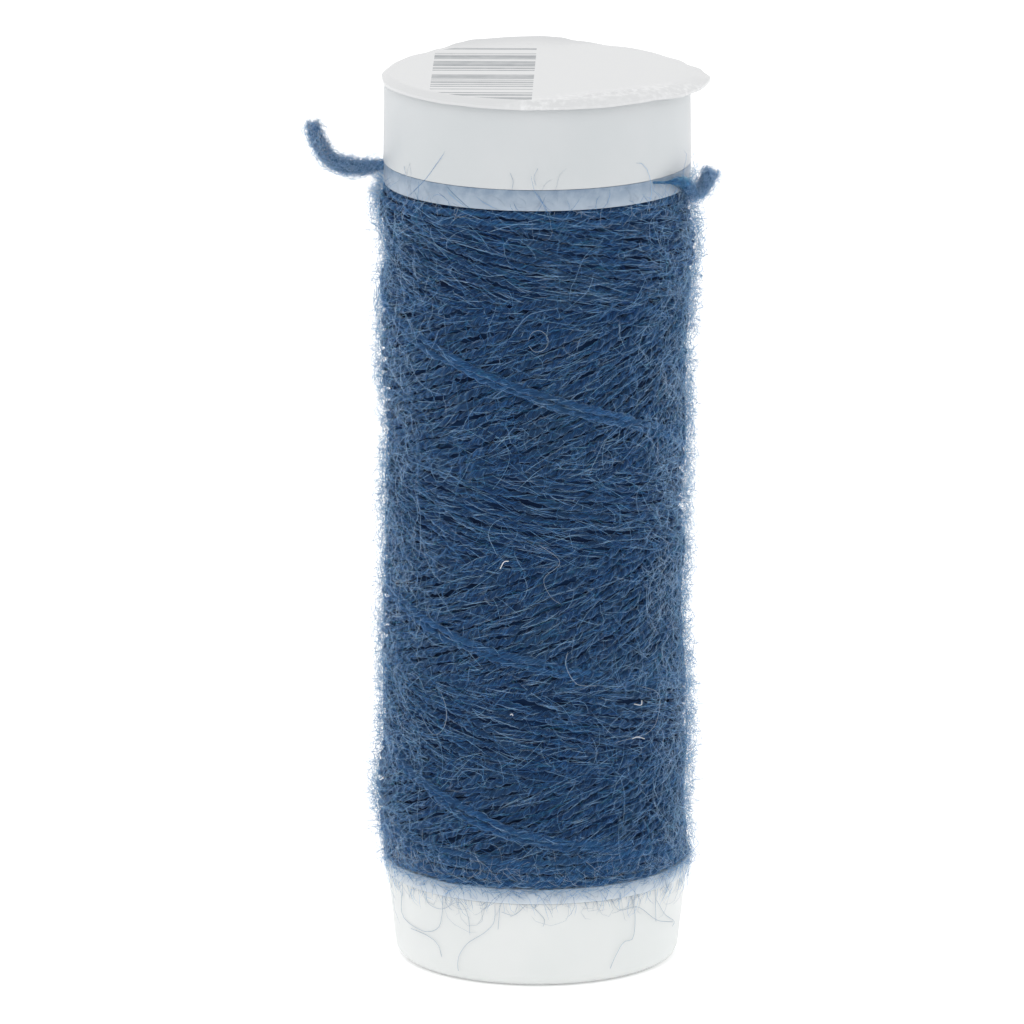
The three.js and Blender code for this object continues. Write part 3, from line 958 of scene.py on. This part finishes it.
# %% Fuzz on the loose yarn
# It shows before and after these places along it, in mm. Most of its fibres are light, which paints
# light on it as its paler wool does. Where it has just left the lid it keeps only a share of its
# fibres, and these are mid and dark blue, and at its left end some are pale.
SHOWS_BEFORE, SHOWS_AFTER = 6.5, 29.0
SMOOTHER_BEFORE, SMOOTHER_SHARE = 33.0, 0.4
TEASED_BEFORE, TEASED_SHARE = 2.5, 0.2
tail_radius = 0.9 * TAIL_DIAMETER / 2 * np.interp(along_tail, *np.transpose(PINCH))


def starts_in_view(count):
    """Random places along the parts of the loose yarn that are not under the lid."""
    start = rng.uniform(0, tail_length, count)
    smoother = (start > SHOWS_AFTER) & (start < SMOOTHER_BEFORE)
    kept = smoother & (rng.random(count) < SMOOTHER_SHARE)
    return start[(start < SHOWS_BEFORE) | (start > SMOOTHER_BEFORE) | kept]


wound_from, standing_from = starts_in_view(4200), starts_in_view(8000)
ends_from = rng.choice([0.1, tail_length - 0.1], 300) + rng.uniform(-0.1, 0.1, 300)
tail_fuzz = np.concatenate([
    fibres_round(tail_route, tail_radius, wound_from, 5, 1.7, 0.5, 0.22),
    fibres_round(tail_route, tail_radius, standing_from, 5, 1.1, 0.8, 0.36),
    fibres_round(tail_route, tail_radius, ends_from, 5, 0.22, 0.9, 0.3, 0.1),
])
starts = np.concatenate([wound_from, standing_from, ends_from])
teased = (starts < TEASED_BEFORE) & (rng.random(len(starts)) < TEASED_SHARE)
# Most are light fibres: painted light on the loose yarn
tail_colours = np.where(teased, PALE, colours(len(starts), 0.84, 0.14, 0.02, 0.0))
smoother = (starts > SHOWS_AFTER) & (starts < SMOOTHER_BEFORE)
tail_colours = np.where(smoother, rng.choice([MID, BLUE], len(starts)), tail_colours)
fibre_piece("fuzz_loose_yarn", tail_fuzz, tail_colours, thickness=0.58)

# %% Fuzz on the strands laid last
last_fuzz = []
for line in last_strands[0]:
    start = rng.uniform(0, last_strands[1], 700)
    last_fuzz.append(fibres_round(line, np.full(len(line), 0.3), start, 4, 1.4, 0.4, 0.1))
last_fuzz = np.concatenate(last_fuzz)
fibre_piece("fuzz_laid_last", last_fuzz, colours(len(last_fuzz), 0.2, 0.5, 0.25, 0.05))

# %% [markdown]
# ## Plastic parts
# The spool, lid and cup are injection moulded in thin polypropylene. It has a satin gloss, a fine
# grain from the mould and a soft depth, because some light goes into it. The flanges are thinner
# and milky. A colour ramp over the height paints on them the blue light that the wool sends
# through, fading towards the white cup below, and paints shade: darker next to the winding and
# darkest under the lid's lip. Every edge has a small radius from the mould, so each
# part is raised from a circle at the imported part's sizes and its sharp edges get a bevel.

# %% Moulded plastic
# The spool's top, and the lid's lower edge just over it
SPOOL_TOP, LIP = 58.66, 58.68


def moulded_material(name, colour, shade_colour, roughness, scatter):
    """White polypropylene, faintly uneven over some mm."""
    material, add, shade = new_material(name)
    place = add("ShaderNodeTexCoord").outputs["Object"]
    cloud = add("ShaderNodeTexNoise", {"Vector": place, "Scale": 0.16 / MM, "Detail": 2.0})
    share = add(
        "ShaderNodeMapRange", {"Value": cloud.outputs["Fac"], "From Min": 0.35, "From Max": 0.7},
    )
    tint = add(
        "ShaderNodeMix",
        {"Factor": share.outputs["Result"], "A": linear(colour), "B": linear(shade_colour)},
        data_type="RGBA",
    )
    grain = add("ShaderNodeTexNoise", {"Vector": place, "Scale": 2.6 / MM, "Detail": 2.0})
    bump = add(
        "ShaderNodeBump", {"Height": grain.outputs["Fac"], "Strength": 0.15, "Distance": 0.02 * MM},
    )
    shade({
        "Base Color": tint.outputs["Result"], "Roughness": roughness, "IOR": 1.49,
        "Subsurface Weight": scatter, "Subsurface Radius": (1.0, 1.0, 1.0),
        "Subsurface Scale": 0.6 * MM, "Normal": bump.outputs["Normal"],
    })
    return material


WHITE_PLASTIC = moulded_material(
    "polypropylene_white", "#dddfde", "#d9dcdb", roughness=0.38, scatter=0.4,
)
# The lid is thinner, and its copy of the plastic is a little greyer: that grey is painted shade,
# for the lid gets less light from the floor than the cup does
LID_PLASTIC_PAINTED_SHADE = moulded_material(
    "polypropylene_white_painted_shade", "#c6c9cb", "#c2c6c8", roughness=0.45, scatter=0.2,
)


def milky_painted_shading_material():
    """The spool's flanges, with painted blue light and painted shade by height: the ramp's places
    are shares of the height.
    """
    material, add, shade = new_material("polypropylene_milky_painted_shading")
    place = add("ShaderNodeTexCoord").outputs["Object"]
    z = add("ShaderNodeSeparateXYZ", {"Vector": place}).outputs["Z"]
    height = add("ShaderNodeMath", {0: z, 1: SPOOL_TOP * MM}, operation="DIVIDE")
    tint = add("ShaderNodeValToRGB", {"Fac": height.outputs["Value"]})
    ramp = tint.color_ramp.elements
    # Painted shade: darker next to the winding and darkest at the top under the lid's lip; the blue
    # is painted light from the wool
    ramp[0].position, ramp[0].color = 6.5 / SPOOL_TOP, linear("#c8cfd5")
    ramp[1].position, ramp[1].color = 1.0, linear("#72869c")
    ramp.new(7.3 / SPOOL_TOP).color = linear("#a5b4c2")
    ramp.new(57.3 / SPOOL_TOP).color = linear("#9eabb9")
    cloud = add(
        "ShaderNodeTexNoise", {"Vector": place, "Scale": 1.3 / MM, "Detail": 3.0, "Roughness": 0.6},
    )
    share = add(
        "ShaderNodeMapRange",
        {"Value": cloud.outputs["Fac"], "From Min": 0.4, "From Max": 0.7, "To Max": 0.45},
    )
    colour = add(
        "ShaderNodeMix",
        {"Factor": share.outputs["Result"], "A": tint.outputs["Color"], "B": linear("#aab6c3")},
        data_type="RGBA",
    )
    shade({
        "Base Color": colour.outputs["Result"], "Roughness": 0.4, "IOR": 1.49,
        "Subsurface Weight": 0.4, "Subsurface Radius": (1.0, 1.0, 1.0),
        "Subsurface Scale": 0.4 * MM,
    })
    return material


MILKY_PLASTIC_PAINTED_SHADING = milky_painted_shading_material()

# %% Finish of a moulded part
# Edges sharper than the first are rounded, and edges flatter than the second are shaded smooth
SHARP_EDGE, SMOOTH_BELOW = math.radians(35), math.radians(40)


def select_only(piece):
    bpy.ops.object.select_all(action="DESELECT")
    piece.select_set(True)
    bpy.context.view_layer.objects.active = piece


def finish_plastic(piece, node, material, edge):
    """Rounded edges, smooth shading and the finish of a moulded part. Edge is the radius in mm."""
    select_only(piece)
    bevel = piece.modifiers.new("mould_radius", "BEVEL")
    bevel.width, bevel.segments = edge * MM, 3
    bevel.limit_method, bevel.angle_limit = "ANGLE", SHARP_EDGE
    bpy.ops.object.modifier_apply(modifier=bevel.name)
    bpy.ops.object.shade_smooth_by_angle(angle=SMOOTH_BELOW)
    piece.data.materials.append(material)
    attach(piece, "root")
    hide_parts(node)


# %% Base cup
def arc(radius, z, bend, start, end, steps=6):
    """Rings of a quarter round about (radius, z), from start to end in degrees."""
    angles = np.radians(np.linspace(start, end, steps))
    return [(radius + bend * math.cos(a), z + bend * math.sin(a)) for a in angles]


# From the ring in its middle over the floor to the wall's inner side, its rim, and round its foot
cup = raised("cup", [
    (4.4, 6.38), (4.4, 0.9), (9.2, 0.9), (9.95, 6.38), (10.85, 6.38),
    *arc(9.25, 1.0, 1.0, 0, -90), (0.5, 0.0),
], 128)
finish_plastic(cup, "base_cup", WHITE_PLASTIC, edge=0.05)

# %% Spool
# From the bore out round the lower flange, up the tube and round the upper flange
spool = raised("spool_body", [
    (4.6, 6.42), (11.0, 6.42), (11.0, 7.5), (5.5, 7.5), (5.5, 57.16), (11.0, 57.16),
    (11.0, SPOOL_TOP), (4.6, SPOOL_TOP), (4.6, 6.42),
], 128, filled=False)
finish_plastic(spool, "spool", MILKY_PLASTIC_PAINTED_SHADING, edge=0.05)

# %% Lid
# From under its ceiling down the inner side, round the lip and up to the top
lid = raised("lid_cap", [
    (4.3, 63.9), (10.1, 63.9), (10.12, LIP), (11.02, LIP),
    *arc(10.55, 64.5, 0.4, 0, 90), (0.5, 64.9),
], 128)
finish_plastic(lid, "lid", LID_PLASTIC_PAINTED_SHADE, edge=0.04)

# %% [markdown]
# ## Sticker
# The sticker is a little larger than the lid. Its rim is pressed down over the lid's edge at the
# front, stands off at the back and sticks out as a corner on the right. A crease runs across it at
# the front right. It is raised as a flat disc in thin rings, and then the rim's points are pushed
# to the reach and lift measured at their angle, as with a soft grab brush.

# %% Sticker shape
FLAT_RADIUS = 10.55
LID_TOP, STICKER_TOP = 64.9, 65.1
# Angle from the front, reach from the axis, and how far the rim stands off the lid's top there
STICKER_RIM = np.array([
    (-180, 11.75, 0.3), (-157, 11.45, 0.27), (-150, 11.3, 0.18), (-141, 11.05, 0.0),
    (-130, 10.7, -0.02), (-107, 10.75, -0.04), (-88, 11.1, -0.26), (-75, 11.2, -0.34),
    (0, 11.25, -0.42), (45, 11.3, -0.42), (62, 11.9, -0.5), (72, 12.25, -0.42), (84, 12.42, -0.22),
    (93, 11.8, -0.05), (104, 11.0, 0.0), (122, 10.8, 0.0), (139, 10.95, 0.0), (152, 11.05, 0.0),
    (165, 11.25, 0.12), (172, 11.45, 0.27), (180, 11.75, 0.3),
])
# The crease's two ends on the lid's top, half its width and its height
CREASE = np.array([(2.4, -9.9), (8.6, -6.3)])
CREASE_HALF, CREASE_HEIGHT = 0.42, 0.15


def rim_value(angle, column):
    """A value of the rim's table at an angle, easing between its rows."""
    rows = STICKER_RIM[:, 0]
    row = np.clip(np.searchsorted(rows, angle) - 1, 0, len(rows) - 2)
    t = np.clip((angle - rows[row]) / (rows[row + 1] - rows[row]), 0, 1)
    low, high = STICKER_RIM[row, column], STICKER_RIM[row + 1, column]
    return low + (high - low) * t * t * (3 - 2 * t)


def crease_rise(x, y):
    """How far the crease lifts the sticker at a point."""
    along = CREASE[1] - CREASE[0]
    length = np.linalg.norm(along)
    along = along / length
    place = ((x - CREASE[0, 0]) * along[0] + (y - CREASE[0, 1]) * along[1]) / length
    away = (x - CREASE[0, 0]) * along[1] - (y - CREASE[0, 1]) * along[0]
    # The fold isn't quite straight
    away = away + 0.18 * np.sin(place * 9) * place
    across = np.cos(np.clip(away / CREASE_HALF, -1, 1) * math.pi / 2) ** 2
    return CREASE_HEIGHT * across * np.maximum(np.sin(np.clip(place, 0, 1) * math.pi), 0) ** 0.6


# %% Raise and shape the sticker
# Thin rings where the rim bends and where the crease starts. The rim's rings are one mm wide in
# all, and each is then pushed out or in by its share of that.
RIM_RINGS = [FLAT_RADIUS + out for out in (0.0, 0.12, 0.25, 0.38, 0.5, 0.62, 0.74, 0.86, 0.95, 1.0)]
CREASE_RINGS = [10.4, 10.25, 10.1, 9.95, 9.8, 9.65, 9.5, 9.35, 9.2]
under = [(9.0, LID_TOP)] + [(radius, LID_TOP) for radius in RIM_RINGS]
over = [(radius, STICKER_TOP) for radius in RIM_RINGS[::-1] + CREASE_RINGS]
sticker = raised("sticker", under + over + [(0.5, STICKER_TOP)], 240)
points = np.empty(len(sticker.data.vertices) * 3, dtype=np.float32)
sticker.data.vertices.foreach_get("co", points)
x, y, z = points.reshape(-1, 3).T / MM
radius = np.hypot(x, y)
angle = np.degrees(np.arctan2(x, -y))
out = np.clip(radius - FLAT_RADIUS, 0, 1)
# The rim isn't cut quite round
waves = 0.012 * np.sin(np.radians(angle * 11)) + 0.008 * np.sin(np.radians(angle * 23 + 40))
reach = FLAT_RADIUS + (rim_value(angle, 1) + waves - FLAT_RADIUS) * out
new_radius = np.where(out > 0, reach, radius)
z = z + (rim_value(angle, 2) + waves) * out**1.8 + np.where(z > LID_TOP + 0.1, crease_rise(x, y), 0)
turned = np.radians(angle)
shaped = np.column_stack([new_radius * np.sin(turned), -new_radius * np.cos(turned), z]) * MM
sticker.data.vertices.foreach_set("co", shaped.astype(np.float32).ravel())
sticker.data.update()
print("sticker reaches", round(float(new_radius.max()), 2), "mm from the axis")

# %% [markdown]
# The sticker is coated paper, a little glossy. Its print is a block of grey bars of uneven width:
# narrow rows across the block get ink or none by a noise that is steady within a row, and the ink
# is a little worn. Along the crease white specks are painted on the paper: a painted highlight of
# the fold.

# %% Printed film
# The block of bars in mm, how far it is turned, the width of a row and the share of bare rows
BARS_FRONT, BARS_BACK, BARS_LEFT, BARS_RIGHT = -10.5, 9.0, -7.5, -0.2
BARS_TURNED = math.atan(0.021)
BAR_ROW = 0.33
BARE_SHARE = 0.38
LIGHTEST_INK, INK_VARIES = 0.65, 0.35
# Distances from the crease in mm: no painted highlight beyond the first, most of it within the
# second
HIGHLIGHT_END, HIGHLIGHT_FULL = 1.953, 0.279


def printed_film():
    material, add, shade = new_material("printed_label_film")
    place = add("ShaderNodeTexCoord").outputs["Object"]
    in_mm = 1 / (MM * math.cos(BARS_TURNED))
    flat = add(
        "ShaderNodeMapping",
        {"Vector": place, "Rotation": (0, 0, BARS_TURNED), "Scale": (in_mm, in_mm, 0)},
    ).outputs["Vector"]
    x, y, _ = add("ShaderNodeSeparateXYZ", {"Vector": flat}).outputs

    rows = add("ShaderNodeMath", {0: y, 1: BAR_ROW}, operation="DIVIDE").outputs["Value"]
    row = add("ShaderNodeMath", {0: rows}, operation="FLOOR").outputs["Value"]
    between = add("ShaderNodeMath", {0: row, 1: 0.5}, operation="ADD").outputs["Value"]
    chance, depth = (
        add("ShaderNodeTexWhiteNoise", {"W": seed}, noise_dimensions="1D").outputs["Value"]
        for seed in (row, between)
    )
    worn = add("ShaderNodeTexNoise", {"Vector": place, "Scale": 0.9 / MM}).outputs["Fac"]
    from_axis = add("ShaderNodeVectorMath", {0: flat}, operation="LENGTH").outputs["Value"]
    ink = add(
        "ShaderNodeMath", {0: depth, 1: INK_VARIES, 2: LIGHTEST_INK}, operation="MULTIPLY_ADD",
    )
    # Each of these is one where there is ink, and the last is less where it is worn
    for node in (
        add("ShaderNodeMath", {0: chance, 1: BARE_SHARE}, operation="GREATER_THAN"),
        add("ShaderNodeMath", {0: x, 1: BARS_LEFT}, operation="GREATER_THAN"),
        add("ShaderNodeMath", {0: x, 1: BARS_RIGHT}, operation="LESS_THAN"),
        add("ShaderNodeMath", {0: y, 1: BARS_FRONT}, operation="GREATER_THAN"),
        add("ShaderNodeMath", {0: y, 1: BARS_BACK}, operation="LESS_THAN"),
        add("ShaderNodeMath", {0: from_axis, 1: FLAT_RADIUS}, operation="LESS_THAN"),
        add("ShaderNodeMapRange", {"Value": worn, "From Min": 0.3, "From Max": 0.6, "To Min": 0.8}),
    ):
        ink = add("ShaderNodeMath", {0: ink.outputs[0], 1: node.outputs[0]}, operation="MULTIPLY")
    colour = add(
        "ShaderNodeMix",
        {"Factor": ink.outputs["Value"], "A": linear("#cecfd0"), "B": linear("#6f767b")},
        data_type="RGBA",
    )

    # The white specks along the crease are a painted highlight of the fold
    fold = (CREASE[1] - CREASE[0]) / np.linalg.norm(CREASE[1] - CREASE[0])
    across_fold = (fold[1], -fold[0], 0)
    across = add("ShaderNodeVectorMath", {0: flat, 1: across_fold}, operation="DOT_PRODUCT")
    away = add(
        "ShaderNodeMath", {0: across.outputs["Value"], 1: CREASE[0] @ across_fold[:2]},
        operation="SUBTRACT",
    )
    away = add("ShaderNodeMath", {0: away.outputs["Value"]}, operation="ABSOLUTE").outputs["Value"]
    near = add(
        "ShaderNodeMapRange", {"Value": away, "From Min": HIGHLIGHT_END, "From Max": HIGHLIGHT_FULL},
    )
    highlight_specks = add("ShaderNodeTexNoise", {"Vector": place, "Scale": 2.4 / MM, "Detail": 3.0})
    highlight_share = add(
        "ShaderNodeMapRange",
        {"Value": highlight_specks.outputs["Fac"], "From Min": 0.45, "From Max": 0.65, "To Max": 0.35},
    )
    white = add(
        "ShaderNodeMath", {0: near.outputs["Result"], 1: highlight_share.outputs["Result"]},
        operation="MULTIPLY",
    )
    highlighted_colour = add(
        "ShaderNodeMix",
        {"Factor": white.outputs["Value"], "A": colour.outputs["Result"], "B": linear("#f4f5f5")},
        data_type="RGBA",
    )
    shade({"Base Color": highlighted_colour.outputs["Result"], "Roughness": 0.24, "IOR": 1.5})
    return material


select_only(sticker)
bpy.ops.object.shade_smooth_by_angle(angle=SMOOTH_BELOW)
sticker.data.materials.append(printed_film())
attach(sticker, "root")
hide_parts("label")

# %% [markdown]
# ## Stage
# The picture is plain and bright: a pale floor that runs into a white surround, and soft lights
# from above in front and from behind on both sides, which light up the haze of the wool. The
# floor's card gives a little light itself, so it stays as white as the photograph's ground.

# %% Floor and light
# Each soft light: place in metres, width in metres and power in watts
LIGHTS = [
    ("light_above", (-0.1, -0.4, 0.75), 0.3, 0.8),
    ("light_right", (0.5, 0.25, 0.18), 0.4, 0.4),
    ("light_left", (-0.5, 0.22, 0.18), 0.4, 0.25),
]
# They all aim at the middle of the spool
AIM = (0, 0, 0.033)
FLOOR_WIDTH = 6.0


def stage():
    bpy.ops.object.select_all(action="DESELECT")
    bpy.ops.mesh.primitive_plane_add(size=FLOOR_WIDTH, location=(0, 0, 0))
    floor = bpy.context.object
    floor.name = "floor"
    material, _, shade = new_material("floor_white_card")
    shade({
        "Base Color": linear("#ffffff"), "Roughness": 0.9, "Specular IOR Level": 0.0,
        "Emission Color": linear("#ffffff"), "Emission Strength": 0.15,
    })
    floor.data.materials.append(material)

    world = bpy.data.worlds.new("white_surround")
    bpy.context.scene.world = world
    world.use_nodes = True
    background = world.node_tree.nodes["Background"]
    background.inputs["Color"].default_value = (1, 1, 1, 1)
    background.inputs["Strength"].default_value = 1.0

    for name, place, size, power in LIGHTS:
        bpy.ops.object.light_add(type="AREA", location=place)
        light = bpy.context.object
        light.name = name
        light.data.size = size
        light.data.energy = power
        towards = Vector(AIM) - Vector(place)
        light.rotation_euler = towards.to_track_quat("-Z", "Y").to_euler()
    bpy.context.scene.view_settings.view_transform = "Standard"


stage()
